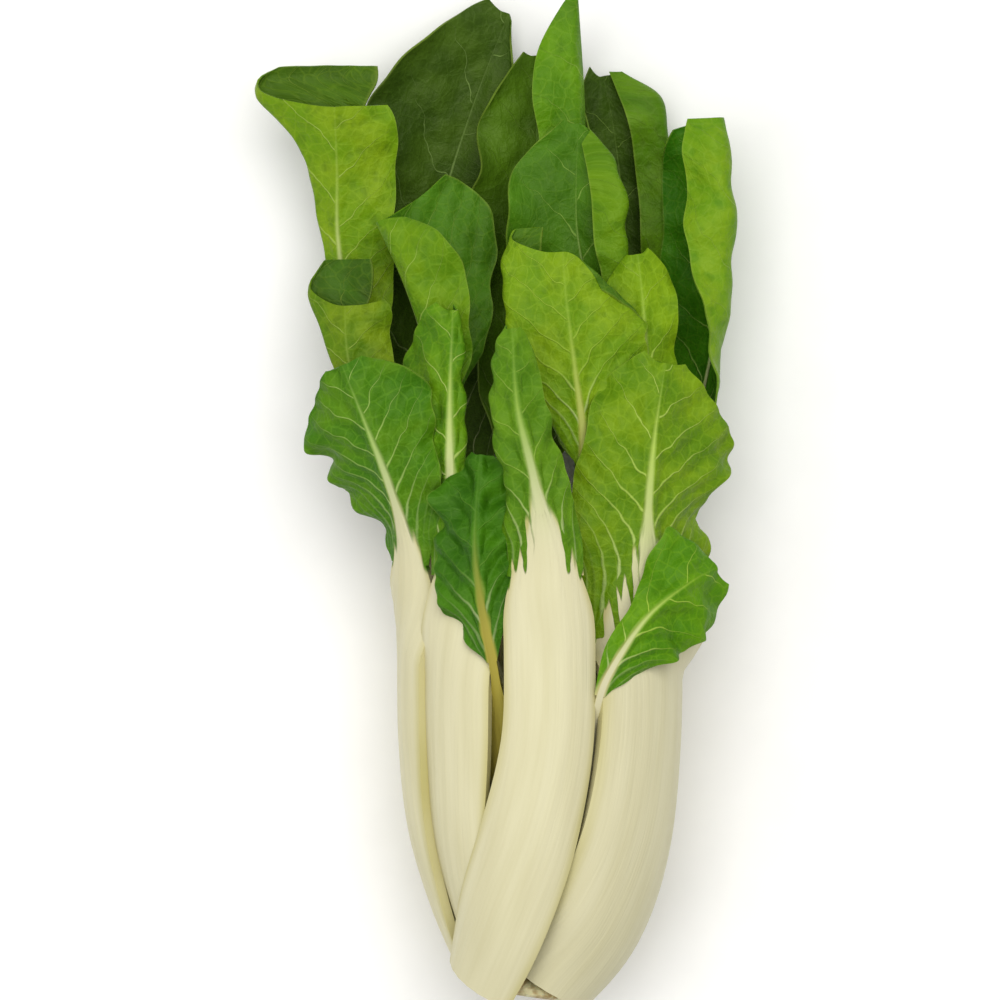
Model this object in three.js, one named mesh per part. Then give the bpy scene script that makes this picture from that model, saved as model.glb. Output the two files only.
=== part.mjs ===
// A head of bok choy, cut at the foot and lying down: white stalks stand in rings round a short core,
// and each stalk thins to the midrib of a green blade, waved at its edge and folded as the leaf grew.
// Millimetres. +Y runs from the cut end to the leaf tips, +X is the head's right seen from above,
// +Z is up, and the head rests on z = 0.
import * as THREE from "three";

// The head as a whole
const AXIS_HEIGHT = 43.6; // the middle of the stalks stands this far above the table
const BELLY = 130; // the stalks stand widest here, measured from the cut end
const TWIST = 110; // the stalks wind round the core up to here
const FOOT_SHIFT = 8; // the foot lies this far to the left of the head's axis
const FOOT_BEND = 45; // the axis bends over this length
const RING_WIDE = 1.03; // the head is a little wider than it is high
const RING_HIGH = 0.93;

const BLADE_THICK = 1.0;
const STALK_EDGE_THICK = 1.8;
const MIDRIB_HALF = 1.6; // half the midrib's width where the blade begins to spread
const MIDRIB_THICK = 2.6;
const MIDRIB_END = 0.8; // the midrib runs this share of the blade's length
const SEAM = 0.35; // the gap between a blade and its midrib
const SETTLE = 0.4; // a surface that would stand less than this above the table lies on it

const WHITE = { color: 0xdcd8b8, roughness: 0.42, metalness: 0 };
const GREEN = { color: 0x5c8a1e, roughness: 0.55, metalness: 0 };
const DARK_GREEN = { color: 0x3f6418, roughness: 0.5, metalness: 0 };
const CORE_CREAM = { color: 0xd8cfa6, roughness: 0.6, metalness: 0 };

// The leaves, outermost first. Each stalk follows a ring from "foot" to "leaves", both above the cut end:
// "at" is its angle round the axis in degrees, 90 upwards and 0 to the right, "half" is half the angle that
// it spans, and "ring" is the radius of its middle, each at the cut end and at the belly. Then the midrib
// follows "path" to its tip. "neck" is where the stalk narrows and "blade" where the blade starts, both
// along the midrib. "face" is the way that the underside faces, at the blade's start and at its tip.
// A side has its reach from the midrib at each quarter of the blade, a power that rounds the last of them off
// at the tip (1 pointed, 4 square), an even cup in degrees, a fold of so many degrees between two shares of
// its reach, and how far its edge runs ahead of the midrib's tip, in full from its "crest" outwards where it
// has one. The fold sets in over the first part of the blade, or over the part that "furl" gives. "wave" is
// the edge's wave: height and count.
const LEAVES = [
  {
    name: "front", at: [136.5, 87], half: [34, 18.2], ring: [25, 46.5],
    foot: 7, leaves: 128, thick: 9,
    path: [[9.4, 147, 88], [8.5, 167, 90], [4.5, 190, 92], [-1, 214, 93], [-3, 243, 90]],
    neck: [132, 196], blade: 154, face: [90, 92], wave: [2.2, 3],
    left: { reach: [15, 19, 17, 16], tip: 5, cup: 30, fold: 80, from: 0.35, to: 0.8, ahead: 4 },
    right: { reach: [13, 15, 16, 16], tip: 5, cup: 28, fold: 0, from: 0.5, to: 1, ahead: 2 },
  },
  {
    name: "right", at: [58, 33], half: [43, 30], ring: [20, 46.5],
    foot: 3, leaves: 126, thick: 9.5,
    path: [[45.5, 150, 70], [45.3, 175, 74], [47.5, 202, 76], [52, 231, 74]],
    neck: [125, 194], blade: 154, face: [68, 74], wave: [2.4, 3],
    left: { reach: [18, 21, 23, 22], tip: 6, cup: 20, fold: 0, from: 0.5, to: 1, ahead: 7 },
    right: { reach: [20, 27, 37, 32], tip: 4, cup: 24, fold: 0, from: 0.5, to: 1, ahead: 5 },
  },
  {
    name: "left_centre", at: [153, 132.2], half: [11, 16.3], ring: [10.2, 41],
    foot: 12, leaves: 118, thick: 7.5,
    path: [[-22, 150, 72], [-24.5, 182, 72], [-25, 215, 72], [-24, 250, 71]],
    neck: [112, 178], blade: 145, face: [104, 98], wave: [2.2, 3],
    left: { reach: [13.2, 20, 23, 21], tip: 5, cup: 42, fold: 0, from: 0.5, to: 1, ahead: 6 },
    right: { reach: [15, 17, 17, 16], tip: 5, cup: 30, fold: 40, from: 0.4, to: 0.9, ahead: 4 },
  },
  {
    name: "left", at: [180, 168.5], half: [10.5, 21], ring: [13.6, 46.5],
    foot: 12, leaves: 125, thick: 9,
    path: [[-39, 150, 57.5], [-41, 168, 63], [-47, 188, 68.5], [-55, 208, 71.5], [-64, 230, 70.5]],
    neck: [115, 178], blade: 158, face: [126, 110], wave: [2.6, 4],
    left: { reach: [12, 21, 25, 24], tip: 5, cup: 20, fold: 0, from: 0.5, to: 1, ahead: 4 },
    right: { reach: [13.7, 19.7, 24, 25], tip: 5, cup: 14, fold: 0, from: 0.5, to: 1, ahead: 4 },
  },
  {
    name: "left_back", at: [213.5, 203], half: [13, 21], ring: [15, 41],
    foot: 10, leaves: 118, thick: 8.5,
    path: [[-38, 160, 27], [-49, 200, 28], [-60, 240, 31], [-65.5, 274, 36], [-66, 300, 42], [-67, 327, 51]],
    neck: [112, 190], blade: 215, face: [118, 94], wave: [1.6, 3],
    left: {
      reach: [9, 18, 38, 88],
      tip: 12, cup: 30, fold: 150, from: 0.33, to: 0.5, ahead: 50, crest: 0.55,
    },
    right: { reach: [14, 19, 21, 22], tip: 10, cup: 14, fold: 0, from: 0.5, to: 1, ahead: 8 },
  },
  {
    name: "back_left", at: [250, 245.5], half: [20, 23], ring: [19, 46.5],
    foot: 3, leaves: 130, thick: 9,
    path: [[-20, 168, 4], [-28, 205, 1.8], [-33, 245, 1.6], [-30, 285, 4], [-21, 322, 8], [-9, 360, 12]],
    neck: [120, 205], blade: 160, face: [258, 268], wave: [2.2, 5],
    left: { reach: [22, 27, 21, 13], tip: 2, cup: 22, fold: 0, from: 0.5, to: 1, ahead: -6 },
    right: { reach: [22, 31, 38, 37], tip: 4, cup: 26, fold: 0, from: 0.5, to: 1, ahead: 5 },
  },
  {
    name: "back_right", at: [294, 294.5], half: [20, 23], ring: [19, 46.5],
    foot: 3, leaves: 130, thick: 9,
    path: [[33, 168, 4], [38, 205, 1.8], [40, 245, 1.6], [38, 285, 4], [34.5, 315, 8], [30, 338, 11]],
    neck: [120, 205], blade: 160, face: [282, 272], wave: [2.0, 5],
    left: { reach: [20, 29, 37, 40], tip: 6, cup: 20, fold: 150, from: 0.48, to: 0.7, ahead: 12 },
    right: { reach: [18, 22, 18, 14], tip: 4, cup: 24, fold: 0, from: 0.5, to: 1, ahead: 6 },
  },
  {
    name: "right_back", at: [342, 338], half: [20, 24], ring: [15, 41],
    foot: 9, leaves: 120, thick: 8.5,
    path: [[55, 165, 30], [63, 200, 32], [70.5, 235, 33], [73, 265, 33], [73, 292, 33], [69.5, 326, 34]],
    neck: [112, 200], blade: 160, face: [334, 330], wave: [2.0, 5],
    left: {
      reach: [16, 27, 37, 42],
      tip: 9, cup: 30, fold: 110, from: 0.4, to: 0.7, ahead: 16, furl: [0.4, 0.75],
    },
    right: { reach: [16, 24, 26, 24], tip: 6, cup: 40, fold: 0, from: 0.5, to: 1, ahead: 6 },
  },
  {
    name: "low_right", at: [75, 62], half: [15, 15], ring: [10, 30.5],
    foot: 15, leaves: 68, thick: 6,
    path: [[25.6, 92, 73], [27.2, 107, 83.4], [32, 120, 87], [45, 139, 85], [60, 151, 79], [71, 157, 70]],
    neck: [46, 80], blade: 103, face: [78, 72], wave: [1.6, 3],
    left: { reach: [10, 17, 20, 21], tip: 6, cup: 18, fold: 0, from: 0.5, to: 1, ahead: 6 },
    right: { reach: [13, 20, 23, 23], tip: 6, cup: 22, fold: 0, from: 0.5, to: 1, ahead: 8 },
  },
  {
    name: "low_left", at: [112, 108], half: [15, 15], ring: [10, 30.5],
    foot: 15, leaves: 76, thick: 6,
    path: [[-6.6, 102, 75], [-9, 120, 83], [-14, 140, 85.5], [-18, 165, 85.5], [-17, 190, 83]],
    neck: [54, 88], blade: 112, face: [106, 104], wave: [2.4, 4],
    left: { reach: [15, 14, 13, 13], tip: 4, cup: 22, fold: 0, from: 0.5, to: 1, ahead: 3 },
    right: { reach: [7, 9, 9.5, 9], tip: 4, cup: 16, fold: 0, from: 0.5, to: 1, ahead: 2 },
  },
  {
    name: "inner_left", at: [168, 158], half: [15, 20], ring: [9.2, 30.5],
    foot: 15, leaves: 112, thick: 6,
    path: [[-30, 150, 48], [-44, 185, 46], [-60.5, 222, 46], [-69.5, 250, 46], [-70, 277, 47]],
    neck: [92, 162], blade: 172, face: [226, 220], wave: [1.6, 3],
    left: { reach: [12, 21, 22, 19], tip: 3, cup: 46, fold: 0, from: 0.5, to: 1, ahead: 0 },
    right: { reach: [14, 25, 33, 30], tip: 4, cup: 30, fold: 80, from: 0.35, to: 0.7, ahead: 0 },
  },
  {
    name: "inner_right", at: [30, 18], half: [18, 20], ring: [10, 30.5],
    foot: 15, leaves: 112, thick: 6,
    path: [[38, 150, 54], [41, 190, 58], [45, 217, 62], [44.5, 245, 62.5], [42, 270, 62]],
    neck: [92, 162], blade: 182, face: [84, 86], wave: [1.6, 3],
    left: { reach: [10, 14, 14, 13], tip: 5, cup: 24, fold: 0, from: 0.5, to: 1, ahead: 2 },
    right: { reach: [9, 12, 13, 13], tip: 5, cup: 26, fold: 0, from: 0.5, to: 1, ahead: 4 },
  },
  {
    name: "inner_low", at: [262, 262], half: [20, 22], ring: [10, 30.5],
    foot: 15, leaves: 112, thick: 6,
    path: [[2, 150, 15], [3, 190, 16], [5, 230, 16], [6, 265, 16], [6, 300, 16.5], [6, 345, 18]],
    neck: [92, 172], blade: 160, face: [268, 272], wave: [1.8, 5],
    left: { reach: [18, 24, 24, 20], tip: 4, cup: 24, fold: 0, from: 0.5, to: 1, ahead: 4 },
    right: { reach: [18, 24, 24, 20], tip: 4, cup: 26, fold: 0, from: 0.5, to: 1, ahead: 4 },
  },
  {
    name: "inner_back", at: [308, 310], half: [18, 20], ring: [10, 30.5],
    foot: 15, leaves: 112, thick: 6,
    path: [[25.5, 155, 22], [23.5, 195, 26], [22.5, 235, 30], [23, 280, 33], [23, 322, 34], [20.5, 365, 34]],
    neck: [92, 172], blade: 205, face: [352, 362], wave: [1.4, 4],
    left: { reach: [10, 17, 20, 14], tip: 2.5, cup: 20, fold: 60, from: 0.1, to: 0.35, ahead: 2 },
    right: { reach: [10, 17, 20, 14], tip: 2.5, cup: 20, fold: 60, from: 0.1, to: 0.35, ahead: 2 },
  },
  {
    name: "heart_front", at: [80, 76], half: [18, 20], ring: [6, 20],
    foot: 22, leaves: 105, thick: 5,
    path: [[20, 143, 63], [22, 175, 68], [22.5, 203, 71], [19.5, 228, 73], [16.5, 252, 73], [15, 273, 70]],
    neck: [72, 126], blade: 172, face: [88, 88], wave: [1.4, 3],
    left: {
      reach: [21, 36, 41, 42],
      tip: 8, cup: 14, fold: 160, from: 0.48, to: 0.72, ahead: 29, crest: 0.7,
    },
    right: { reach: [20, 27, 29, 28], tip: 3, cup: 13, fold: 0, from: 0.5, to: 1, ahead: -10 },
  },
  {
    name: "heart_left", at: [140, 136], half: [18, 20], ring: [6, 20],
    foot: 22, leaves: 100, thick: 5,
    path: [[-15, 140, 55], [-22, 178, 56], [-28, 212, 56], [-34, 237, 55.5], [-42, 260, 55], [-53, 284, 54]],
    neck: [72, 126], blade: 186, face: [172, 178], wave: [1.6, 3],
    left: { reach: [20, 34, 46, 44], tip: 3, cup: 16, fold: 60, from: 0.06, to: 0.24, ahead: 34 },
    right: { reach: [15, 22, 25, 24], tip: 3, cup: 12, fold: 60, from: 0.08, to: 0.3, ahead: 2 },
  },
  {
    name: "heart_back", at: [330, 335], half: [18, 20], ring: [6, 20],
    foot: 22, leaves: 100, thick: 5,
    path: [[27, 148, 37], [28, 188, 41], [28, 224, 43], [25, 253, 45], [20.5, 281, 47], [21, 318, 49]],
    neck: [72, 126], blade: 184, face: [288, 280], wave: [1.6, 3],
    left: { reach: [18, 32, 34, 26], tip: 3, cup: 14, fold: 150, from: 0.45, to: 0.72, ahead: -8 },
    right: { reach: [16, 24, 25, 20], tip: 3, cup: 22, fold: 0, from: 0.5, to: 1, ahead: 4 },
  },
];

const radians = THREE.MathUtils.degToRad;
const smooth = THREE.MathUtils.smoothstep;
const mix = THREE.MathUtils.lerp;

// How far the stalks still wind round the core at a height above the cut end: 1 there, 0 at TWIST
function winding(y) {
  return Math.max(0, 1 - y / TWIST) ** 2;
}

function ringRadius(leaf, y) {
  return mix(leaf.ring[1], leaf.ring[0], Math.max(0, 1 - y / BELLY) ** 3.4);
}

function ringPoint(leaf, y) {
  const angle = radians(mix(leaf.at[1], leaf.at[0], winding(y)));
  const reach = ringRadius(leaf, y);
  const bend = Math.max(0, 1 - y / FOOT_BEND) ** 2;
  const x = FOOT_SHIFT * (1 - bend) + RING_WIDE * reach * Math.cos(angle);
  return new THREE.Vector3(x, y, AXIS_HEIGHT + RING_HIGH * reach * Math.sin(angle));
}

// The leaf's midline: up its ring in five steps, then through its own points
function midline(leaf) {
  const steps = [0, 0.2, 0.45, 0.72, 1];
  const ring = steps.map((s) => ringPoint(leaf, mix(leaf.foot, leaf.leaves, s)));
  const path = leaf.path.map((p) => new THREE.Vector3(...p));
  const curve = new THREE.CatmullRomCurve3([...ring, ...path], false, "catmullrom", 0.5);
  curve.arcLengthDivisions = 300;
  return { curve, length: curve.getLength() };
}

// Position and directions at a distance along the midline: along, out of the underside, and across
function frameAt(leaf, line, distance) {
  const t = THREE.MathUtils.clamp(distance / line.length, 0, 1);
  const point = line.curve.getPointAt(t);
  const along = line.curve.getTangentAt(t);
  const onRing = mix(leaf.at[1], leaf.at[0], winding(point.y));
  const turnIn = smooth(distance, leaf.leaves - leaf.foot, leaf.blade);
  const turnUp = smooth(distance, leaf.blade, line.length);
  const angle = mix(mix(onRing, leaf.face[0], turnIn), leaf.face[1], turnUp);
  const facing = new THREE.Vector3(Math.cos(radians(angle)), 0, Math.sin(radians(angle)));
  const under = facing.addScaledVector(along, -facing.dot(along)).normalize();
  const across = new THREE.Vector3().crossVectors(along, under);
  return { point, along, under, across };
}

// The stalk at a distance along it: half its width, how far that curls round its ring, and its thickness
function stalkAt(leaf, line, distance) {
  const { y } = line.curve.getPointAt(distance / line.length);
  const spread = radians(mix(leaf.half[1], leaf.half[0], winding(y)));
  const grown = ringRadius(leaf, y) / leaf.ring[1];
  const narrowed = smooth(distance, leaf.neck[0], leaf.neck[1]);
  const taper = smooth(distance, leaf.neck[1], line.length);
  const half = mix(leaf.ring[1] * grown * spread, MIDRIB_HALF * (1 - 0.6 * taper), narrowed);
  const thick = mix(leaf.thick * grown ** 0.8, MIDRIB_THICK * (1 - 0.5 * taper), narrowed);
  return { half, thick, turn: mix(spread, 0.15, narrowed) };
}

// The blade's reach from the midrib: through its set widths, and in to nothing at the tip
function reachAt(side, tau) {
  const [a, b, c, d] = side.reach;
  const knots = [-a * 0.6, 0, a, b, c, d, d];
  const k = Math.min(3, Math.floor(tau * 4));
  const [p, q, r, s] = knots.slice(k, k + 4);
  const u = tau * 4 - k;
  const bend = 2 * p - 5 * q + 4 * r - s;
  const width = 0.5 * (2 * q + (r - p) * u + bend * u * u + (3 * q - p - 3 * r + s) * u ** 3);
  return k < 3 ? width : width * (1 - u ** side.tip);
}

// Where an arc ends that starts at an angle, turns by an angle and has a length: across and down
function arc(start, turn, length) {
  if (Math.abs(turn) < 1e-5) return [Math.cos(start) * length, Math.sin(start) * length];
  const end = start + turn;
  return [
    (length / turn) * (Math.sin(end) - Math.sin(start)),
    (length / turn) * (Math.cos(start) - Math.cos(end)),
  ];
}

// A point of the leaf's middle surface, and the way that its underside faces there.
// "column" is -1 to 1 across the stalk, and on to -2 and 2 at the blade's edges.
function surfaceAt(leaf, line, distance, column) {
  const { point, along, under, across } = frameAt(leaf, line, distance);
  const side = Math.sign(column) || 1;
  const stalk = stalkAt(leaf, line, distance);
  const inStalk = Math.min(1, Math.abs(column));
  let angle = stalk.turn * inStalk;
  let [out, down] = arc(0, angle, stalk.half * inStalk);
  let lift = 0;
  let ahead = 0;
  const reach = Math.abs(column) - 1;
  if (reach > 0) {
    const wing = side < 0 ? leaf.left : leaf.right;
    const tau = THREE.MathUtils.clamp((distance - leaf.blade) / (line.length - leaf.blade), 0, 1);
    const width = reachAt(wing, tau);
    const [first, last] = wing.furl ?? [0, 0.3];
    const fold = wing.fold * THREE.MathUtils.clamp((tau - first) / (last - first), 0, 1);
    const stops = [0, wing.from, wing.to, 1];
    const turns = [wing.cup, wing.cup + fold / (wing.to - wing.from), wing.cup];
    out += Math.cos(angle) * SEAM;
    down += Math.sin(angle) * SEAM;
    for (let k = 0; k < 3; k++) {
      const span = Math.min(reach, stops[k + 1]) - stops[k];
      if (span <= 0) continue;
      const turn = radians(turns[k]) * span;
      const [o, d] = arc(angle, turn, width * span);
      out += o;
      down += d;
      angle += turn;
    }
    const [height, count] = leaf.wave;
    const swell = Math.min(1, width / 15) * reach ** 2;
    lift = height * swell * Math.sin(2 * Math.PI * count * tau + side * 1.3 + leaf.at[1]);
    const crest = Math.min(1, reach / (wing.crest ?? 1)) ** 2;
    ahead = (wing.ahead * tau - 0.45 * width) * tau ** 2 * crest;
  }
  const normal = new THREE.Vector3().addScaledVector(under, Math.cos(angle));
  normal.addScaledVector(across, side * Math.sin(angle));
  const place = point.clone().addScaledVector(across, side * out).addScaledVector(under, -down);
  place.addScaledVector(along, ahead).addScaledVector(normal, lift);
  return { place, normal };
}

// A closed solid from a grid of points: a skin on each side, and an edge wherever a cell has no neighbour
function solidFromGrid(rows, columns, skins, hasCell) {
  const positions = [];
  for (const skin of [0, 1]) {
    for (let i = 0; i < rows; i++) {
      for (let j = 0; j < columns; j++) positions.push(...skins(i, j)[skin].toArray());
    }
  }
  const id = (skin, [i, j]) => skin * rows * columns + i * columns + j;
  const index = [];
  for (let i = 0; i < rows - 1; i++) {
    for (let j = 0; j < columns - 1; j++) {
      if (!hasCell(i, j)) continue;
      const corners = [[i, j], [i, j + 1], [i + 1, j + 1], [i + 1, j]];
      const [a, b, c, d] = corners.map((corner) => id(0, corner));
      const [e, f, g, h] = corners.map((corner) => id(1, corner));
      index.push(a, b, c, a, c, d, e, g, f, e, h, g);
      const neighbours = [[i - 1, j], [i, j + 1], [i + 1, j], [i, j - 1]];
      neighbours.forEach(([m, n], k) => {
        const inside = m >= 0 && m < rows - 1 && n >= 0 && n < columns - 1;
        if (inside && hasCell(m, n)) return;
        const [p, q] = [corners[k], corners[(k + 1) % 4]];
        index.push(id(0, q), id(0, p), id(1, p), id(0, q), id(1, p), id(1, q));
      });
    }
  }
  const geometry = new THREE.BufferGeometry();
  geometry.setAttribute("position", new THREE.Float32BufferAttribute(positions, 3));
  geometry.setIndex(index);
  geometry.computeVertexNormals();
  return geometry;
}

// Two points either side of the middle surface. Nothing goes below the table, and what nearly touches it
// lies flat on it.
function skinPair(leaf, line, distance, column, thick) {
  const { place, normal } = surfaceAt(leaf, line, distance, column);
  place.z = Math.max(place.z, thick / 2);
  return [0.5, -0.5].map((half) => {
    const skin = place.clone().addScaledVector(normal, half * thick);
    if (skin.z < SETTLE) skin.z = 0;
    return skin;
  });
}

const BLADE_ROWS = 11;
const STALK_ROWS = 8; // below the blade
const WING_STEPS = [1e-6, 0.24, 0.5, 0.75, 1];
const STALK_STEPS = [-1, -0.55, 0, 0.55, 1];

// Rows crowd towards the tip, where the outline turns fastest
function bladeRows(leaf, line) {
  const [first, last] = [0.03, 0.97];
  return Array.from({ length: BLADE_ROWS }, (_, i) => {
    const u = i / (BLADE_ROWS - 1);
    return mix(leaf.blade, line.length, mix(first, last, 1 - (1 - u) ** 1.35));
  });
}

function stalkSolid(leaf, line) {
  const below = Array.from({ length: STALK_ROWS }, (_, i) => (leaf.blade * i) / STALK_ROWS);
  const end = mix(leaf.blade, line.length, MIDRIB_END);
  const rows = [...below, ...bladeRows(leaf, line).filter((d) => d < end)];
  const skins = (i, j) => {
    const column = STALK_STEPS[j];
    const middle = stalkAt(leaf, line, rows[i]).thick;
    const edge = Math.min(STALK_EDGE_THICK, middle);
    return skinPair(leaf, line, rows[i], column, mix(edge, middle, (1 - column * column) ** 0.8));
  };
  return solidFromGrid(rows.length, STALK_STEPS.length, skins, () => true);
}

// The blade's two wings run up either side of the midrib and meet above its end
function bladeSolid(leaf, line) {
  const rows = bladeRows(leaf, line);
  const end = mix(leaf.blade, line.length, MIDRIB_END);
  const firstWhole = rows.findIndex((d) => d >= end);
  const wing = WING_STEPS.map((reach) => 1 + reach);
  const columns = [...wing.map((c) => -c).reverse(), ...wing];
  const middle = wing.length - 1;
  const skins = (i, j) => skinPair(leaf, line, rows[i], columns[j], BLADE_THICK);
  return solidFromGrid(rows.length, columns.length, skins, (i, j) => j !== middle || i >= firstWhole);
}

const head = new THREE.Group();
for (const leaf of LEAVES) {
  const line = midline(leaf);
  const facesDown = Math.sin(radians(leaf.face[1])) < -0.5;
  const stalk = new THREE.Mesh(stalkSolid(leaf, line), new THREE.MeshStandardMaterial(WHITE));
  const green = new THREE.MeshStandardMaterial(facesDown ? DARK_GREEN : GREEN);
  const blade = new THREE.Mesh(bladeSolid(leaf, line), green);
  stalk.name = `stalk_${leaf.name}`;
  blade.name = `blade_${leaf.name}`;
  head.add(stalk, blade);
}

// The short stem that the stalks grow from, cut flat at the foot
const CORE_PROFILE = [[0, 0], [16.5, 0], [17, 2], [14, 6], [9.5, 9], [7, 15], [4.5, 21], [0, 25]];
const core = new THREE.Mesh(
  new THREE.LatheGeometry(CORE_PROFILE.map(([r, h]) => new THREE.Vector2(r, h)), 20),
  new THREE.MeshStandardMaterial(CORE_CREAM),
);
core.name = "core";
core.position.set(0, 3, AXIS_HEIGHT);
core.rotation.z = -Math.atan(0.16);
head.add(core);

// The origin stands under the middle of the head
head.position.set(6.2, -179.8, 0);

export default head;
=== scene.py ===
import math

import bpy
import numpy as np
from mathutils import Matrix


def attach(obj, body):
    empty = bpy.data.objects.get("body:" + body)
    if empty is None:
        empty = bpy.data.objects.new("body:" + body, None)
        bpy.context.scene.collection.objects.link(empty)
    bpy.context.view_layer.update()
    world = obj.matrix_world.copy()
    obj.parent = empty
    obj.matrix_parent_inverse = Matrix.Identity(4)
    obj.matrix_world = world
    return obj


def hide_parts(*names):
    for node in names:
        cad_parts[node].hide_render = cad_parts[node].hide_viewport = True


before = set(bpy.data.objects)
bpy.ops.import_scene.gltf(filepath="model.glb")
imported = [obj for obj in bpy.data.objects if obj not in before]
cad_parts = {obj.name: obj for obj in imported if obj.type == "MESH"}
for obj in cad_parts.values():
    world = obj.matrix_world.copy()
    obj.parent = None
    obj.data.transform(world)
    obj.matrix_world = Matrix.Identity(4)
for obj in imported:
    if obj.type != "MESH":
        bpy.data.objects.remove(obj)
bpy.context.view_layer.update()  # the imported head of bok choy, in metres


# ---------------------------------------------------------------- Camera
# The head is looked at from straight above, from far off through a long lens, with the leaf tips at the
# top. The picture takes in 360 mm of the table at half the head's height.

PICTURE_WIDTH = 0.360
HALF_HEIGHT = 0.050
CAMERA_ABOVE = 3.0

bpy.ops.object.camera_add(location=(-0.001, 0.0009, HALF_HEIGHT + CAMERA_ABOVE), rotation=(0, 0, 0))
camera = bpy.context.object
camera.name = "camera"
camera.data.sensor_width = 36
camera.data.lens = 36 * CAMERA_ABOVE / PICTURE_WIDTH
camera.data.clip_end = 30
bpy.context.scene.camera = camera


# ---------------------------------------------------------------- Table and light
# A plain pale table top, smooth and matt, under soft boxes: a large one beyond the leaf tips, and a
# weaker one from the lower left.

def deselect_all():
    """The operators act on all that is selected, so nothing stays selected before a new piece."""
    for thing in bpy.context.selected_objects:
        thing.select_set(False)


def paint(code):
    """A colour for the nodes from a painter's code such as dcd8b8."""
    parts = [int(code[k:k + 2], 16) / 255 for k in (0, 2, 4)]
    return tuple(p / 12.92 if p <= 0.04045 else ((p + 0.055) / 1.055) ** 2.4 for p in parts) + (1.0,)


class Shade:
    """A value in a finish: one socket of its node tree. Arithmetic on it adds the nodes that work it out."""

    def __init__(self, tree, socket=None):
        self.tree = tree
        self.socket = socket

    def node(self, kind, settings, inputs, output=0):
        """Adds a node, sets it up, and feeds its sockets with plain values or with other steps."""
        made = self.tree.nodes.new("ShaderNode" + kind)
        for key, value in settings.items():
            setattr(made, key, value)
        for key, value in inputs.items():
            if isinstance(value, Shade):
                self.tree.links.new(value.socket, made.inputs[key])
            else:
                made.inputs[key].default_value = value
        return Shade(self.tree, made.outputs[output] if len(made.outputs) else None)

    def math(self, operation, *values):
        return self.node("Math", {"operation": operation}, dict(enumerate(values)))

    def __add__(self, other):
        return self.math("ADD", self, other)

    def __radd__(self, other):
        return self.math("ADD", other, self)

    def __sub__(self, other):
        return self.math("SUBTRACT", self, other)

    def __rsub__(self, other):
        return self.math("SUBTRACT", other, self)

    def __mul__(self, other):
        return self.math("MULTIPLY", self, other)

    def __rmul__(self, other):
        return self.math("MULTIPLY", other, self)

    def __pow__(self, other):
        return self.math("POWER", self, other)

    def __abs__(self):
        return self.math("ABSOLUTE", self)

    def rise(self, low, high):
        """0 below low and 1 above high, with a smooth step between."""
        spans = {"Value": self, "From Min": low, "From Max": high, "To Min": 0.0, "To Max": 1.0}
        return self.node("MapRange", {"interpolation_type": "SMOOTHSTEP"}, spans)

    def blend(self, first, second):
        """The first colour where this is 0, the second where it is 1."""
        return self.node("Mix", {"data_type": "RGBA"}, {0: self, 6: first, 7: second}, 2)

    def stretched(self, amounts):
        return self.node("VectorMath", {"operation": "MULTIPLY"}, {0: self, 1: amounts})

    def shifted(self, by):
        return self.node("VectorMath", {"operation": "ADD"}, {0: self, 1: by})

    def noise(self, size, detail=2.0, space="3D"):
        """Soft noise over these coordinates, so many lumps to a unit."""
        sockets = {"Vector": self, "Scale": size, "Detail": detail}
        return self.node("TexNoise", {"noise_dimensions": space}, sockets)

    def cells(self, size):
        """The distance to the nearest edge between flat cells laid over these coordinates."""
        kind = {"feature": "DISTANCE_TO_EDGE", "voronoi_dimensions": "2D"}
        return self.node("TexVoronoi", kind, {"Vector": self, "Scale": size})


def new_finish(name):
    """An empty finish, and the first step to build it from."""
    material = bpy.data.materials.new(name)
    material.use_nodes = True
    material.node_tree.nodes.clear()
    return material, Shade(material.node_tree)


def join_finish(start, colour, roughness, constants, relief=None):
    """Brings a finish together: what varies over the surface, and what is the same all over."""
    inputs = {"Base Color": colour, "Roughness": roughness, **constants}
    if relief is not None:
        inputs["Normal"] = relief
    start.node("OutputMaterial", {}, {"Surface": start.node("BsdfPrincipled", {}, inputs)})


deselect_all()
bpy.ops.mesh.primitive_plane_add(size=8, location=(0, 0, -0.0003))
table = bpy.context.object
table.name = "table"
table_white, start = new_finish("table_white")
grain = start.node("TexCoord", {}, {}, "Object").noise(60, 3)
join_finish(start, (grain * 0.5).blend(paint("fafaf9"), paint("f0f0ee")), 0.85, {"Specular IOR Level": 0.15})
table.data.materials.append(table_white)


def softbox(name, place, aim, size, watts):
    """A square soft box that faces the point it is aimed at."""
    reach = [a - p for a, p in zip(aim, place)]
    tilt = math.pi / 2 + math.atan2(reach[2], math.hypot(reach[0], reach[1]))
    turn = math.atan2(reach[1], reach[0]) - math.pi / 2
    bpy.ops.object.light_add(type="AREA", location=place, rotation=(tilt, 0, turn))
    light = bpy.context.object
    light.name = name
    light.data.size = size
    light.data.energy = watts
    light.data.color = (1.0, 0.985, 0.96)


softbox("key_box", (0.1, 0.5, 1.6), (0, 0, 0.05), 1.4, 23)
softbox("fill_box", (-0.9, -0.4, 1.3), (0, 0, 0.05), 1.2, 6)

room = bpy.data.worlds.new("room")
room.use_nodes = True
room.node_tree.nodes["Background"].inputs["Color"].default_value = (1.0, 1.0, 1.0, 1.0)
room.node_tree.nodes["Background"].inputs["Strength"].default_value = 0.46
bpy.context.scene.world = room
bpy.context.scene.view_settings.view_transform = "Standard"


# ---------------------------------------------------------------- Core
# The short stem inside the foot that every stalk grows from. It is solid, pale and fibrous, and a knife
# has cut it flat across, so its rings show and its rim has dried to light brown.

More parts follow.
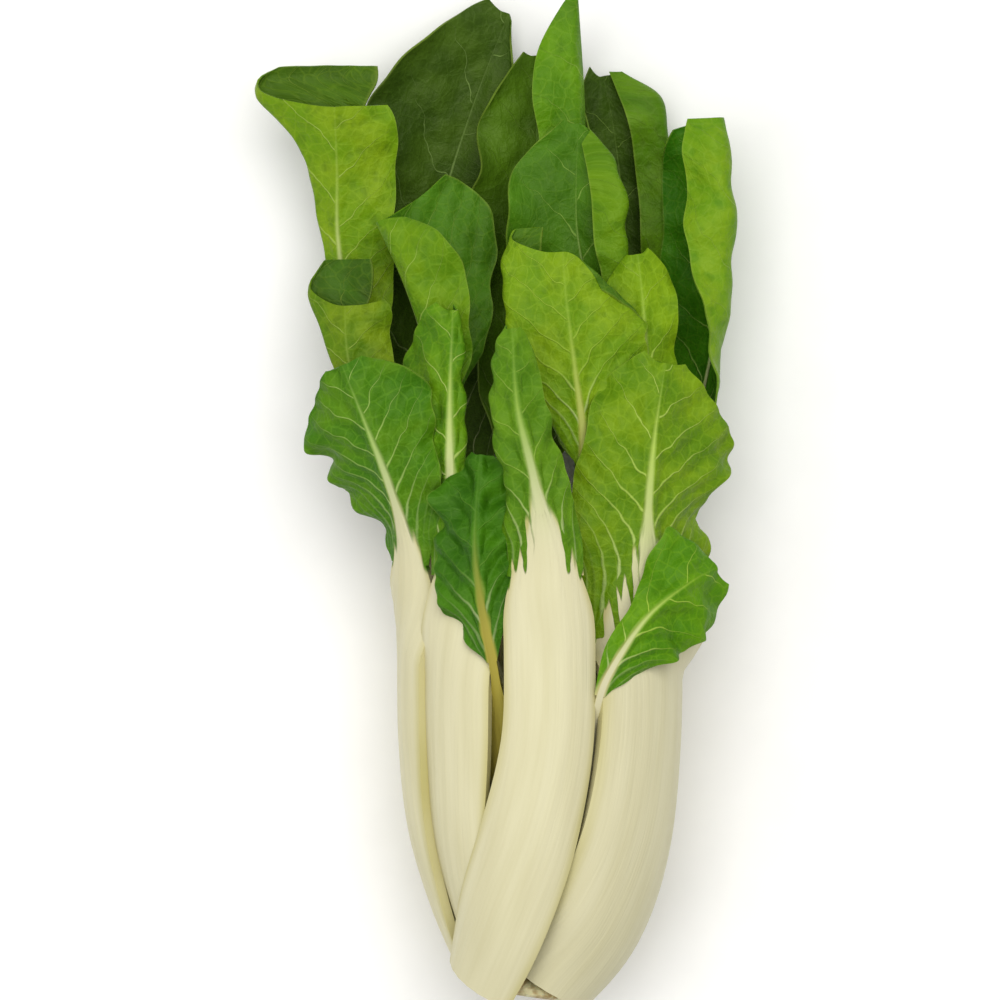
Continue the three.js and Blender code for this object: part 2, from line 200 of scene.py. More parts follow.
ORIGIN = np.array([6.2, -179.8, 0.0])  # the origin stands under the middle of the head
AXIS_HEIGHT = 43.6
CORE_AT = (0, 3, AXIS_HEIGHT)
CORE_LEAN = -math.atan(0.16)
# how wide the core is, and how far from the cut end, in mm
CORE_RINGS = [(18.2, 0.0), (19.2, 0.9), (19.2, 3), (15.5, 7), (10, 10), (7, 15), (4.5, 21), (0.6, 25)]


def cut_core_finish():
    """Pale wet fibre in rings round the middle, dried to brown in patches towards the rim."""
    material, start = new_finish("cut_core")
    where = start.node("TexCoord", {}, {}, "Object")
    wide = where.node("SeparateXYZ", {}, {0: where}, "X") - (CORE_AT[0] + ORIGIN[0]) * 0.001
    high = where.node("SeparateXYZ", {}, {0: where}, "Z") - AXIS_HEIGHT * 0.001
    radius = (wide * wide + high * high) ** 0.5
    fibres = where.noise(600, 4)
    rings = start.math("SINE", radius * 2600.0 + fibres * 4.0)
    pale = (fibres * 0.7 + rings * 0.15).blend(paint("e2dcb4"), paint("b9b27c"))
    dried = radius.rise(0.0115, 0.0165) * where.noise(260, 3).rise(0.4, 0.6)
    relief = start.node("Bump", {}, {"Strength": 0.6, "Distance": 0.0004, "Height": fibres + rings * 0.2})
    waxy = {"Subsurface Weight": 0.12, "Subsurface Scale": 0.002}
    join_finish(start, (dried * 0.8).blend(pale, paint("9c8250")), fibres * 0.2 + 0.5, waxy, relief)
    return material


deselect_all()
bpy.ops.mesh.primitive_circle_add(vertices=48, radius=CORE_RINGS[0][0], fill_type="NGON", location=(0, 0, 0))
core = bpy.context.object
core.name = "cut_core"
bpy.ops.object.mode_set(mode="EDIT")
bpy.ops.mesh.select_all(action="SELECT")
bpy.ops.mesh.flip_normals()
bpy.ops.mesh.inset(thickness=6, depth=0.3)
bpy.ops.mesh.inset(thickness=5, depth=-0.5)
bpy.ops.mesh.select_all(action="DESELECT")
bpy.ops.mesh.select_non_manifold()
for (before, low), (after, high) in zip(CORE_RINGS, CORE_RINGS[1:]):
    bpy.ops.mesh.extrude_edges_move(TRANSFORM_OT_translate={"value": (0, 0, high - low)})
    bpy.ops.transform.resize(value=(after / before, after / before, 1))
bpy.ops.mesh.edge_face_add()
bpy.ops.mesh.select_all(action="SELECT")
bpy.ops.mesh.normals_make_consistent(inside=False)
bpy.ops.object.mode_set(mode="OBJECT")
core.scale = (0.001, 0.001, 0.001)
core.rotation_euler = (-math.pi / 2, 0, CORE_LEAN)
core.location = [(a + b) * 0.001 for a, b in zip(CORE_AT, ORIGIN)]
bpy.ops.object.transform_apply(location=True, rotation=True, scale=True)
bpy.ops.object.shade_smooth_by_angle(angle=math.radians(40))
core.data.materials.append(cut_core_finish())
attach(core, "root")
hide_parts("core")


# ---------------------------------------------------------------- The leaves in front
# Four thick white stalks face the camera and end in green blades. A leaf is one growth: a fleshy stalk,
# curled round the head, that thins to the midrib, and a thin blade spread either side of it and kept
# stiff by side veins. It grows from the core and leans on the leaves behind it.

BELLY = 130  # the stalks stand widest here, measured from the cut end
TWIST = 110  # they wind round the core up to here
FOOT_SHIFT = 8  # the foot lies this far to the left of the head's axis
FOOT_BEND = 45  # and comes back under the axis over this length
RING_WIDE = 1.03  # the head is a little wider than round, and flatter
RING_HIGH = 0.93

BLADE_THICK = 0.75
STALK_EDGE_THICK = 2.6
MIDRIB_HALF = 1.3
MIDRIB_THICK = 2.8
THICKEST = 12.0  # no stalk is thicker than this
CLOSE = 1.05  # the stalks press on each other, so that only a groove shows between them
TIP_SHARE = 0.985  # the blade ends at this share of its length
DRAWN_TIP_SHARE = 0.955  # and at this one where a margin runs far ahead of the midrib
FAR_AHEAD = 8

CELLS_ACROSS = 96
CELLS_ALONG = 132
STALK_SHARE = 0.22  # this share of the cells across lies on the stalk
BELOW_SHARE = 0.26  # this share of the cells along lies below the blade


def mix(a, b, t):
    """a where t is 0, b where it is 1."""
    return a + (b - a) * t


def smooth(x, low, high):
    """0 below low and 1 above high, with a smooth step between."""
    t = np.clip((x - low) / (high - low), 0, 1)
    return t * t * (3 - 2 * t)


def winding(y):
    """How far the stalks still wind round the core: 1 at the cut end, 0 at TWIST."""
    return np.maximum(0, 1 - y / TWIST) ** 2


def ring_radius(leaf, y):
    """How far the stalk stands from the head's axis, this far from the cut end."""
    return mix(leaf["ring"][1], leaf["ring"][0], np.maximum(0, 1 - y / BELLY) ** 3.4)


def ring_point(leaf, y):
    """Where the middle of the stalk passes, this far from the cut end."""
    angle = math.radians(mix(leaf["at"][1], leaf["at"][0], winding(y)))
    bend = max(0, 1 - y / FOOT_BEND) ** 2
    x = FOOT_SHIFT * (1 - bend) + RING_WIDE * ring_radius(leaf, y) * math.cos(angle)
    return (x, y, AXIS_HEIGHT + RING_HIGH * ring_radius(leaf, y) * math.sin(angle))


def midline(leaf):
    """The leaf's midline: points close together, the way it runs at each, and the distance along it."""
    steps = [0, 0.2, 0.45, 0.72, 1]
    knots = [ring_point(leaf, mix(leaf["foot"], leaf["leaves"], s)) for s in steps] + list(leaf["path"])
    knots = np.array([np.array(knots[0]) * 2 - knots[1], *knots, np.array(knots[-1]) * 2 - knots[-2]])
    u = np.linspace(0, 1, 240, endpoint=False)[:, None]
    parts = []
    for p, q, r, s in zip(knots, knots[1:], knots[2:], knots[3:]):
        bend = 2 * p - 5 * q + 4 * r - s
        parts.append(0.5 * (2 * q + (r - p) * u + bend * u**2 + (3 * q - p - 3 * r + s) * u**3))
    points = np.vstack([*parts, knots[-2:-1]])
    lengths = np.linalg.norm(np.diff(points, axis=0), axis=1)
    distance = np.concatenate([[0], np.cumsum(lengths)])
    along = np.gradient(points, distance, axis=0)
    return points, along / np.linalg.norm(along, axis=1)[:, None], distance


def along_line(line, values, distance):
    """Reads a place or a direction off the midline at these distances."""
    return np.stack([np.interp(distance, line[2], values[:, k]) for k in range(3)], -1)


def frame_at(leaf, line, distance):
    """Place and directions at a distance along the midline: along, out of the underside, and across."""
    length = line[2][-1]
    point = along_line(line, line[0], distance)
    along = along_line(line, line[1], distance)
    on_ring = mix(leaf["at"][1], leaf["at"][0], winding(point[..., 1]))
    turn_in = smooth(distance, leaf["leaves"] - leaf["foot"], leaf["blade"])
    turn_up = smooth(distance, leaf["blade"], length)
    angle = np.radians(mix(mix(on_ring, leaf["face"][0], turn_in), leaf["face"][1], turn_up))
    facing = np.stack([np.cos(angle), np.zeros_like(angle), np.sin(angle)], -1)
    under = facing - along * (facing * along).sum(-1, keepdims=True)
    under /= np.linalg.norm(under, axis=-1, keepdims=True)
    return point, along, under, np.cross(along, under)


def stalk_at(leaf, line, distance, y):
    """Half the stalk's width, its thickness, and how far it curls round its ring."""
    spread = np.radians(mix(leaf["half"][1], leaf["half"][0], winding(y))) * CLOSE
    grown = ring_radius(leaf, y) / leaf["ring"][1]
    narrowed = smooth(distance, *leaf["neck"])
    taper = smooth(distance, leaf["neck"][1], line[2][-1])
    half = mix(leaf["ring"][1] * grown * spread, MIDRIB_HALF * (1 - 0.8 * taper), narrowed)
    thick = mix(leaf["thick"] * grown**0.8, MIDRIB_THICK * (1 - 0.65 * taper), narrowed)
    return half, thick, mix(spread, 0.15, narrowed)


def reach_at(side, tau):
    """The blade's reach from the midrib: through its set widths, and in to nothing at the tip."""
    a, b, c, d = side["reach"]
    knots = np.array([-a * 0.6, 0, a, b, c, d, d])
    k = np.minimum(3, np.floor(tau * 4)).astype(int)
    p, q, r, s = knots[k], knots[k + 1], knots[k + 2], knots[k + 3]
    u = tau * 4 - k
    bend = 2 * p - 5 * q + 4 * r - s
    width = 0.5 * (2 * q + (r - p) * u + bend * u**2 + (3 * q - p - 3 * r + s) * u**3)
    return np.where(k < 3, width, width * (1 - u ** side["tip"]))


def arc(start, turn, length):
    """Where an arc ends that starts at an angle, turns by an angle and has a length: across and down."""
    turn = np.where(np.abs(turn) < 1e-5, 1e-5, turn)
    end = start + turn
    return length / turn * (np.sin(end) - np.sin(start)), length / turn * (np.cos(start) - np.cos(end))


def vein_field(leaf, side, length, along, out):
    """Side veins leave the midrib at an angle, closest together near the stalk, and bow towards the tip. The
    first value is whole halfway between two veins and runs on by one per vein; the second is how far apart
    two veins are there."""
    count = leaf.get("veins", 7)

    def number(a, o):
        slope = mix(3.4, 0.85, smooth(a / length, -0.15, 0.6))
        root = (a - slope * o - 0.006 * o**2) / length
        wander = 0.10 * np.sin(a / 11 + leaf["at"][1]) + 0.08 * np.sin(o / 7 + a / 23 + side)
        return count * np.sign(root) * np.abs(root) ** 0.8 + wander + 0.3 * side + 0.01 * leaf["at"][0]

    here = number(along, out)
    slope_along = (number(along + 0.5, out) - here) / 0.5
    slope_out = (number(along, out + 0.5) - here) / 0.5
    return here, 1 / np.maximum(0.02, np.hypot(slope_along, slope_out))


def leaf_surface(leaf, line, distance, column):
    """The leaf's middle surface at distances along it and columns across it, -1 to 1 on the stalk and on to
    -2 and 2 at the blade's edges, and what its finish needs to know there."""
    length = line[2][-1]
    blade_length = length - leaf["blade"]
    side = np.where(column < 0, -1.0, 1.0)
    reach = np.maximum(0, np.abs(column) - 1)
    tau = np.clip((distance - leaf["blade"]) / blade_length, 0, 1)
    drawn = max(abs(leaf["left"]["ahead"]), abs(leaf["right"]["ahead"])) > FAR_AHEAD
    short = mix(1, 0.998, smooth(reach, 0, 0.4)) * (DRAWN_TIP_SHARE if drawn else TIP_SHARE)
    tau = tau * mix(1, short, smooth(tau, 0.5, 1))
    distance = np.where(distance > leaf["blade"], leaf["blade"] + tau * blade_length, distance)
    point, along, under, across = frame_at(leaf, line, distance)
    half, thick, turn = stalk_at(leaf, line, distance, point[..., 1])
    in_stalk = np.minimum(1, np.abs(column))
    angle = turn * in_stalk
    out, down = arc(0, angle, half * in_stalk)
    lift = np.zeros_like(out)
    ahead = np.zeros_like(out)
    width_here = np.zeros_like(out)
    vein = np.zeros_like(out)
    gap = np.full_like(out, 9.0)
    for sign, wing in ((-1, leaf["left"]), (1, leaf["right"])):
        mine = (side == sign) & (reach > 0)
        turn_by = leaf["at"][1] + sign
        lobes = 0.6 * np.sin(2 * np.pi * 2.3 * tau + turn_by)
        lobes = lobes + 0.4 * np.sin(2 * np.pi * 5.1 * tau + 2 * turn_by)
        lobes = lobes * leaf.get("lobes", 0.05) * smooth(tau, 0.1, 0.3) * (1 - smooth(tau, 0.85, 1))
        width = np.maximum(reach_at(wing, tau) * (1 + lobes), 0.25)
        furl = wing.get("furl", (0, 0.3))
        fold = wing["fold"] * np.clip((tau - furl[0]) / (furl[1] - furl[0]), 0, 1)
        stops = [0, wing["start"], wing["end"], 1]
        turns = [wing["cup"], wing["cup"] + fold / (wing["end"] - wing["start"]), wing["cup"]]
        wing_angle, wing_out, wing_down = angle.copy(), out.copy(), down.copy()
        for k in range(3):
            span = np.clip(np.minimum(reach, stops[k + 1]) - stops[k], 0, None)
            bend = np.radians(turns[k]) * span
            o, d = arc(wing_angle, bend, width * span)
            wing_out += o
            wing_down += d
            wing_angle = wing_angle + bend
        height, count = leaf["wave"]
        swell = np.minimum(1, width / 15) * reach**2
        wave = height * swell * np.sin(2 * np.pi * count * tau + sign * 1.3 + leaf["at"][1])
        crest = np.minimum(1, reach / wing.get("crest", 1)) ** 2
        wing_ahead = (wing["ahead"] * tau - 0.45 * width) * tau**2 * crest
        mm_along = tau * blade_length + wing_ahead
        mm_out = width * reach
        number, spacing = vein_field(leaf, sign, blade_length, mm_along, mm_out)
        bulge = leaf.get("bulge", 0.9) * np.minimum(1, spacing / 10)
        bulge = bulge * smooth(reach, 0, 0.2) * smooth(width, 2, 12)
        quilt = -bulge * (0.5 + 0.5 * np.cos(2 * np.pi * number))
        quilt = quilt - 0.35 * bulge * np.sin(mm_out / 2.3 + 3 * number) * np.sin(mm_along / 3.1 + sign)
        buckle = np.sin(mm_along / 6.3 + mm_out / 9.1 + turn_by) * np.sin(mm_out / 5.2 - mm_along / 11.7)
        quilt = quilt + 0.9 * bulge * smooth(mm_out, 1, 8) * buckle
        ruffle = leaf.get("ruffle", 0.9) * np.minimum(1, width / 15) * reach**3
        frill = np.sin(mm_along / 4.4 + 1.5 * np.sin(mm_along / 19)) + 0.4 * np.sin(mm_along / 2.3 + sign)
        out = np.where(mine, wing_out, out)
        down = np.where(mine, wing_down, down)
        angle = np.where(mine, wing_angle, angle)
        lift = np.where(mine, wave + quilt + ruffle * frill, lift)
        ahead = np.where(mine, wing_ahead, ahead)
        width_here = np.where(mine, width, width_here)
        vein = np.where(side == sign, number, vein)
        gap = np.where(side == sign, spacing, gap)
    ribs = 0.16 * np.cos(column * np.pi * 7) * (1 - in_stalk**4) * np.minimum(1, half / 12)
    lift = np.where(reach > 0, lift, lift + ribs)
    normal = under * np.cos(angle)[..., None] + across * (side * np.sin(angle))[..., None]
    place = point + across * (side * out)[..., None] - under * down[..., None]
    place = place + along * ahead[..., None] + normal * lift[..., None]
    edge = np.minimum(STALK_EDGE_THICK, thick)
    body = mix(edge, thick, (1 - in_stalk**2) ** 0.8)
    from_stalk = reach * width_here
    thin = mix(edge, BLADE_THICK, smooth(from_stalk, 0, 3.5))
    body = np.where(reach > 0, thin, body)
    facts = {
        "edge": np.where(reach > 0, from_stalk, -half * (1 - in_stalk)),
        "neck": np.maximum(0, half - 1.5) * smooth(distance, leaf["blade"] - 8, leaf["blade"] + 12),
        "column": in_stalk,
        "reach": reach,
        "height": tau,
        "vein": vein,
        "gap": gap,
        "width": width_here,
    }
    chart = np.stack([side * (half * in_stalk + from_stalk), distance + ahead], -1) * 0.001
    return place, body, facts, chart


def leaf_finish(leaf):
    """Waxy ivory on the stalk; on the blade green, with pale side veins and a net of fine ones. The
    underside is lighter and more yellow than the upper side."""
    material, start = new_finish("leaf_" + leaf["name"])

    def fact(name):
        return start.node("Attribute", {"attribute_name": name}, {}, "Fac")

    chart = start.node("UVMap", {"uv_map": "chart"}, {})
    edge, column = fact("edge"), fact("column")
    reach, height, vein, gap = fact("reach"), fact("height"), fact("vein"), fact("gap")
    under = fact("underside")
    strands = chart.stretched((1, 0.035, 1)).noise(900, 2, "2D")
    broad = chart.stretched((1, 0.12, 1)).noise(160, 1, "2D")
    fingers = chart.stretched((1, 0.07, 1)).noise(330, 1, "2D")
    clouds = chart.noise(55, 2, "2D")
    mottle = chart.noise(260, 3, "2D")
    crinkle_relief_and_shade = chart.noise(170, 2, "2D")
    net = chart.shifted(chart.noise(90, 1, "2D") * 0.004).cells(230)
    fine_net = chart.cells(620)

    ragged = ((fingers - 0.5) * leaf.get("ragged", 2.0) + leaf.get("inset", 0.4)) * fact("neck")
    stem = 1 - (edge + ragged + height * 0.5).rise(-0.1 - height, 1.2 - height * 0.6)
    wander = (chart.noise(120, 1, "2D") - 0.5) * 0.3
    to_vein = abs(start.math("FRACT", vein + wander) - 0.5) * gap
    breadth = (1 - reach * 0.8) * (1.1 - height * 0.8) * (mottle + 0.4) * leaf.get("vein_width", 1.0)
    main_vein = (1 - to_vein.rise(breadth * 0.15, breadth * 0.85)) * gap.rise(1.2, 6.0)
    main_vein = main_vein * edge.rise(-0.2, 0.4)
    side_vein = (1 - net.rise(0.02, 0.12)) * 0.2
    thread = (1 - fine_net.rise(0.0, 0.14)) * 0.1

    upper_green = clouds.rise(0.3, 0.7).blend(paint(leaf["upper"][0]), paint(leaf["upper"][1]))
    under_green = clouds.rise(0.3, 0.7).blend(paint(leaf["under"][0]), paint(leaf["under"][1]))
    green = under.blend(upper_green, under_green)
    green = (mottle.rise(0.35, 0.75) * 0.25).blend(green, paint(leaf["upper"][0]))
    # Painted shade: the blade goes towards its darker upper green in the hollows of the crinkle, the low
    # parts of the same noise that raises its relief below.
    green = (crinkle_relief_and_shade.rise(0.45, 0.25) * 0.3).blend(green, paint(leaf["upper"][1]))
    web = (side_vein + thread) * (0.45 + under * 0.55)
    green = web.blend(green, paint(leaf["net"]))
    young = height.rise(0.0, 0.5)
    vein_colour = young.blend(paint("d6dba8"), paint(leaf["rib"]))
    green = (main_vein * (0.62 - reach * 0.45)).blend(green, vein_colour)
    green = (reach.rise(0.975, 1.0) * 0.3).blend(green, paint("84983c"))

    light, dark = leaf.get("stalk", ("d4cfae", "c4be98"))
    ivory = (strands * 0.35 + broad * 0.8 - 0.1).blend(paint(light), paint(dark))
    # The olive tint along the stalk's edges is partly the stalk's own greenish edge and partly painted shade
    # of the grooves between the stalks.
    tinge = column.rise(0.74, 1.0) * (0.4 + broad * 0.6) * leaf.get("tinge", 0.7)
    ivory = tinge.blend(ivory, paint("a79d42"))
    rib_colour = height.rise(0.1, 0.75).blend(ivory, paint(leaf["rib"]))
    colour = (stem * (1 - height * 0.35)).blend(green, rib_colour)

    roughness = stem * -0.12 + mottle * 0.2 + 0.42
    blade_grain = main_vein * 0.6 + side_vein * 0.6 + thread + mottle * 0.3 + crinkle_relief_and_shade * 2.2
    grain = stem * strands * 0.3 + (1 - stem) * blade_grain
    relief = start.node("Bump", {}, {"Strength": 0.6, "Distance": 0.0008, "Height": grain})
    waxy = {"Specular IOR Level": 0.22, "Specular Tint": (0.9, 1.0, 0.55, 1.0)}
    join_finish(start, colour, roughness, waxy, relief)
    return material


def grow(leaf):
    """Makes one leaf: a flat grid shaped to the leaf, cut to its outline below the blade, and given its
    thickness."""
    line = midline(leaf)
    length = line[2][-1]
    deselect_all()
    bpy.ops.mesh.primitive_grid_add(x_subdivisions=CELLS_ACROSS, y_subdivisions=CELLS_ALONG, size=2)
    piece = bpy.context.object
    piece.name = "leaf_" + leaf["name"]
    mesh = piece.data
    flat = np.zeros(len(mesh.vertices) * 3)
    mesh.vertices.foreach_get("co", flat)
    x, y = flat.reshape(-1, 3)[:, 0], flat.reshape(-1, 3)[:, 1]
    outside = np.maximum(0, (np.abs(x) - STALK_SHARE) / (1 - STALK_SHARE))
    column = np.sign(x) * (np.minimum(1, np.abs(x) / STALK_SHARE) + outside)
    along = (y + 1) / 2
    up = np.clip((along - BELOW_SHARE) / (1 - BELOW_SHARE), 0, 1)
    distance = np.where(
        along < BELOW_SHARE,
        leaf["blade"] * along / BELOW_SHARE,
        leaf["blade"] + (length - leaf["blade"]) * (1 - (1 - up) ** 1.35),
    )
    place, body, facts, chart = leaf_surface(leaf, line, distance, column)
    place[:, 2] = np.maximum(place[:, 2], body / 2 + 0.05)
    mesh.vertices.foreach_set("co", ((place + ORIGIN) * 0.001).ravel())
    for name, values in facts.items():
        mesh.attributes.new(name, "FLOAT", "POINT").data.foreach_set("value", values)
    mesh.uv_layers[0].name = "chart"
    corner = np.zeros(len(mesh.loops), int)
    mesh.loops.foreach_get("vertex_index", corner)
    mesh.uv_layers[0].data.foreach_set("uv", chart[corner].ravel())

    below = (along < BELOW_SHARE - 1e-6) & (np.abs(column) > 1 + 1e-6)
    bpy.ops.object.mode_set(mode="EDIT")
    bpy.ops.mesh.select_mode(type="VERT")
    bpy.ops.mesh.select_all(action="DESELECT")
    bpy.ops.object.mode_set(mode="OBJECT")
    mesh.vertices.foreach_set("select", below)
    bpy.ops.object.mode_set(mode="EDIT")
    bpy.ops.mesh.delete(type="VERT")
    bpy.ops.object.mode_set(mode="OBJECT")

    kept = body[~below]
    group = piece.vertex_groups.new(name="thickness")
    for k, value in enumerate(kept):
        group.add([k], float(value) / THICKEST, "REPLACE")
    shell = piece.modifiers.new("thickness", "SOLIDIFY")
    shell.thickness = THICKEST * 0.001
    shell.offset = 0
    shell.vertex_group = "thickness"
    bpy.ops.object.modifier_apply(modifier="thickness")
    half = len(mesh.vertices) // 2
    underside = np.zeros(len(mesh.vertices))
    underside[:half] = 1
    mesh.attributes.new("underside", "FLOAT", "POINT").data.foreach_set("value", underside)
    bpy.ops.object.shade_smooth_by_angle(angle=math.radians(50))
    mesh.materials.append(leaf_finish(leaf))
    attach(piece, "root")
    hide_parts("stalk_" + leaf["name"], "blade_" + leaf["name"])
    return piece


# Each leaf is given by, in millimetres and degrees:
#   at, half: where the stalk stands round the head and half its width, at the cut end and above the foot
#   ring: how far it stands from the head's axis, at the cut end and at its widest
#   foot, leaves: how far from the cut end it starts, and where it leaves the ring for its path
#   thick, path: its thickness, and the rest of its midline (across, along, and above the table)
#   neck, blade: between which lengths the stalk narrows to the midrib, and where the blade starts
#   face: which way its underside looks, at the start of the blade and at the tip
#   wave: the height of the blade's slow waves, and how many there are
#   left, right: the reach of each side of the blade at four places on its length, how blunt its tip is, how
#     far it cups, how far it folds between which shares of its reach, and how far its margin runs ahead
#   under, upper, net, rib, stalk: the colours of its two sides, its fine veins, its midrib and its stalk
front_leaves = [
    dict(
        name="front", at=[136.5, 87], half=[34, 19.8], ring=[25, 46.5], foot=7, leaves=128, thick=9,
        path=[(9.4, 147, 88), (8.5, 167, 90), (4.5, 190, 92), (-1, 214, 93), (-3, 243, 90)],
        neck=[136, 192], blade=154, face=[90, 92], wave=[2.2, 3],
        left=dict(reach=[15, 19, 17, 16], tip=5, cup=30, fold=80, start=0.35, end=0.8, ahead=4),
        right=dict(reach=[10, 11, 10, 9], tip=5, cup=28, fold=0, start=0.5, end=1, ahead=2),
        under=("57800c", "457107"), upper=("3b650d", "2f5609"), net="6f9626", rib="8cac43",
        ragged=3.0, veins=7, bulge=1.3, ruffle=1.0, vein_width=0.9, lobes=0.08,
    ),
    dict(
        name="right", at=[58, 33], half=[43, 32.6], ring=[20, 46.5], foot=3, leaves=126, thick=9.5,
        path=[(45.5, 150, 70), (45.3, 175, 74), (47.5, 202, 76), (52, 231, 74)],
        neck=[122, 186], blade=140, face=[68, 74], wave=[2.4, 3],
        left=dict(reach=[25, 26, 24, 22], tip=6, cup=20, fold=0, start=0.5, end=1, ahead=7),
        right=dict(reach=[20, 27, 37, 32], tip=4, cup=24, fold=0, start=0.5, end=1, ahead=5),
        under=("6e8e0c", "547b06"), upper=("426e0b", "355d07"), net="86a824", rib="b4cc60",
        veins=8, bulge=1.2, ruffle=0.9, vein_width=1.2, inset=0.5,
    ),
    dict(
        name="left_centre", at=[153, 135], half=[11, 21.5], ring=[10.2, 44], foot=12, leaves=118, thick=7.5,
        path=[(-22, 150, 72), (-24.5, 182, 72), (-25, 215, 72), (-24, 250, 71)],
        neck=[112, 178], blade=145, face=[104, 98], wave=[2.2, 3],
        left=dict(reach=[13.2, 20, 23, 21], tip=5, cup=42, fold=0, start=0.5, end=1, ahead=6),
        right=dict(reach=[11, 12, 12, 11], tip=5, cup=30, fold=110, start=0.2, end=0.6, ahead=4),
        under=("5b8608", "457505"), upper=("39630b", "2c5207"), net="789e22", rib="b4ca6a",
        veins=7, bulge=1.2, ruffle=1.0,
    ),
    dict(
        name="left", at=[180, 172], half=[10.5, 19.5], ring=[13.6, 46.5], foot=12, leaves=125, thick=9,
        path=[(-39, 150, 57.5), (-41, 168, 63), (-47, 188, 68.5), (-55, 208, 71.5), (-64, 230, 70.5)],
        neck=[115, 178], blade=150, face=[126, 110], wave=[2.6, 4],
        left=dict(reach=[18, 25, 28, 25], tip=5, cup=20, fold=0, start=0.5, end=1, ahead=4),
        right=dict(reach=[13.7, 19.7, 24, 25], tip=5, cup=14, fold=0, start=0.5, end=1, ahead=4),
        under=("4d7707", "366806"), upper=("3b6e0a", "2f590a"), net="689824", rib="a4c066",
        veins=8, bulge=1.3, ruffle=1.6, lobes=0.08,
    ),
]

for leaf in front_leaves:
    grow(leaf)


# ---------------------------------------------------------------- The leaves behind
# Four more outer leaves lie against the table or stand up round the sides. They are the longest, and their
# blades show behind the others, mostly by their dark upper sides. They are made and fixed as those in front.

back_leaves = [
    dict(
        name="left_back", at=[213.5, 203], half=[13, 21], ring=[15, 41], foot=10, leaves=118, thick=8.5,
        path=[(-38, 160, 27), (-49, 200, 28),
              (-60, 240, 31), (-65.5, 274, 36), (-66, 300, 42), (-67, 327, 51)],
        neck=[112, 190], blade=215, face=[118, 94], wave=[1.6, 3],
        left=dict(reach=[9, 18, 38, 93], tip=12, cup=30, fold=150, start=0.33, end=0.5, ahead=50, crest=0.55),
        right=dict(reach=[14, 19, 21, 22], tip=10, cup=14, fold=0, start=0.5, end=1, ahead=8),
        under=("73910d", "5f8604"), upper=("42650c", "335209"), net="86a425", rib="a2ba53",
        veins=8, bulge=0.5, ruffle=0.4,
    ),
    dict(
        name="back_left", at=[250, 245.5], half=[20, 23], ring=[19, 46.5], foot=3, leaves=130, thick=9,
        path=[(-20, 168, 4), (-28, 205, 1.8), (-33, 245, 1.6), (-29, 285, 4), (-18, 322, 8), (-3, 361, 12)],
        neck=[120, 205], blade=160, face=[258, 268], wave=[2.2, 5],
        left=dict(reach=[22, 29, 27, 17], tip=2, cup=22, fold=0, start=0.5, end=1, ahead=-3),
        right=dict(reach=[22, 32, 38, 34], tip=4, cup=26, fold=0, start=0.5, end=1, ahead=7),
        under=("49660e", "3c590c"), upper=("3d5712", "2e460d"), net="547424", rib="809a53",
        veins=9, bulge=0.9, ruffle=0.6,
    ),
    dict(
        name="back_right", at=[294, 294.5], half=[20, 23], ring=[19, 46.5], foot=3, leaves=130, thick=9,
        path=[(33, 168, 4), (38, 205, 1.8), (40, 245, 1.6), (38, 285, 4), (34.5, 315, 8), (30, 338, 11)],
        neck=[120, 205], blade=160, face=[282, 272], wave=[2.0, 5],
        left=dict(reach=[20, 29, 37, 40], tip=6, cup=20, fold=150, start=0.48, end=0.7, ahead=8),
        right=dict(reach=[18, 24, 25, 23], tip=3, cup=24, fold=0, start=0.5, end=1, ahead=7),
        under=("567e09", "416c04"), upper=("3b5611", "2a420a"), net="5a7a25", rib="7e9a48",
        veins=9, bulge=0.7, ruffle=0.6,
    ),
    dict(
        name="right_back", at=[342, 338], half=[20, 24], ring=[15, 41], foot=9, leaves=120, thick=8.5,
        path=[(55, 165, 30), (63, 200, 32),
              (70.5, 235, 33), (73, 265, 33), (73, 292, 33), (69.5, 326, 34)],
        neck=[112, 200], blade=160, face=[334, 330], wave=[2.0, 5],
        left=dict(reach=[16, 27, 37, 42], tip=5, cup=30, fold=110, start=0.4, end=0.7, ahead=14,
                  furl=[0.4, 0.75]),
        right=dict(reach=[16, 24, 26, 24], tip=6, cup=40, fold=0, start=0.5, end=1, ahead=6),
        under=("719312", "578408"), upper=("397407", "2c6505"), net="7a9c2b", rib="9cbc56",
        veins=9, bulge=0.6, ruffle=0.6,
    ),
]

for leaf in back_leaves:
    grow(leaf)


# ---------------------------------------------------------------- The low leaves
# Two small leaves push out between the front stalks, one each side of the widest, on thin stalks of their
# own that grow from the core. Their blades are soft, bright and crinkled.

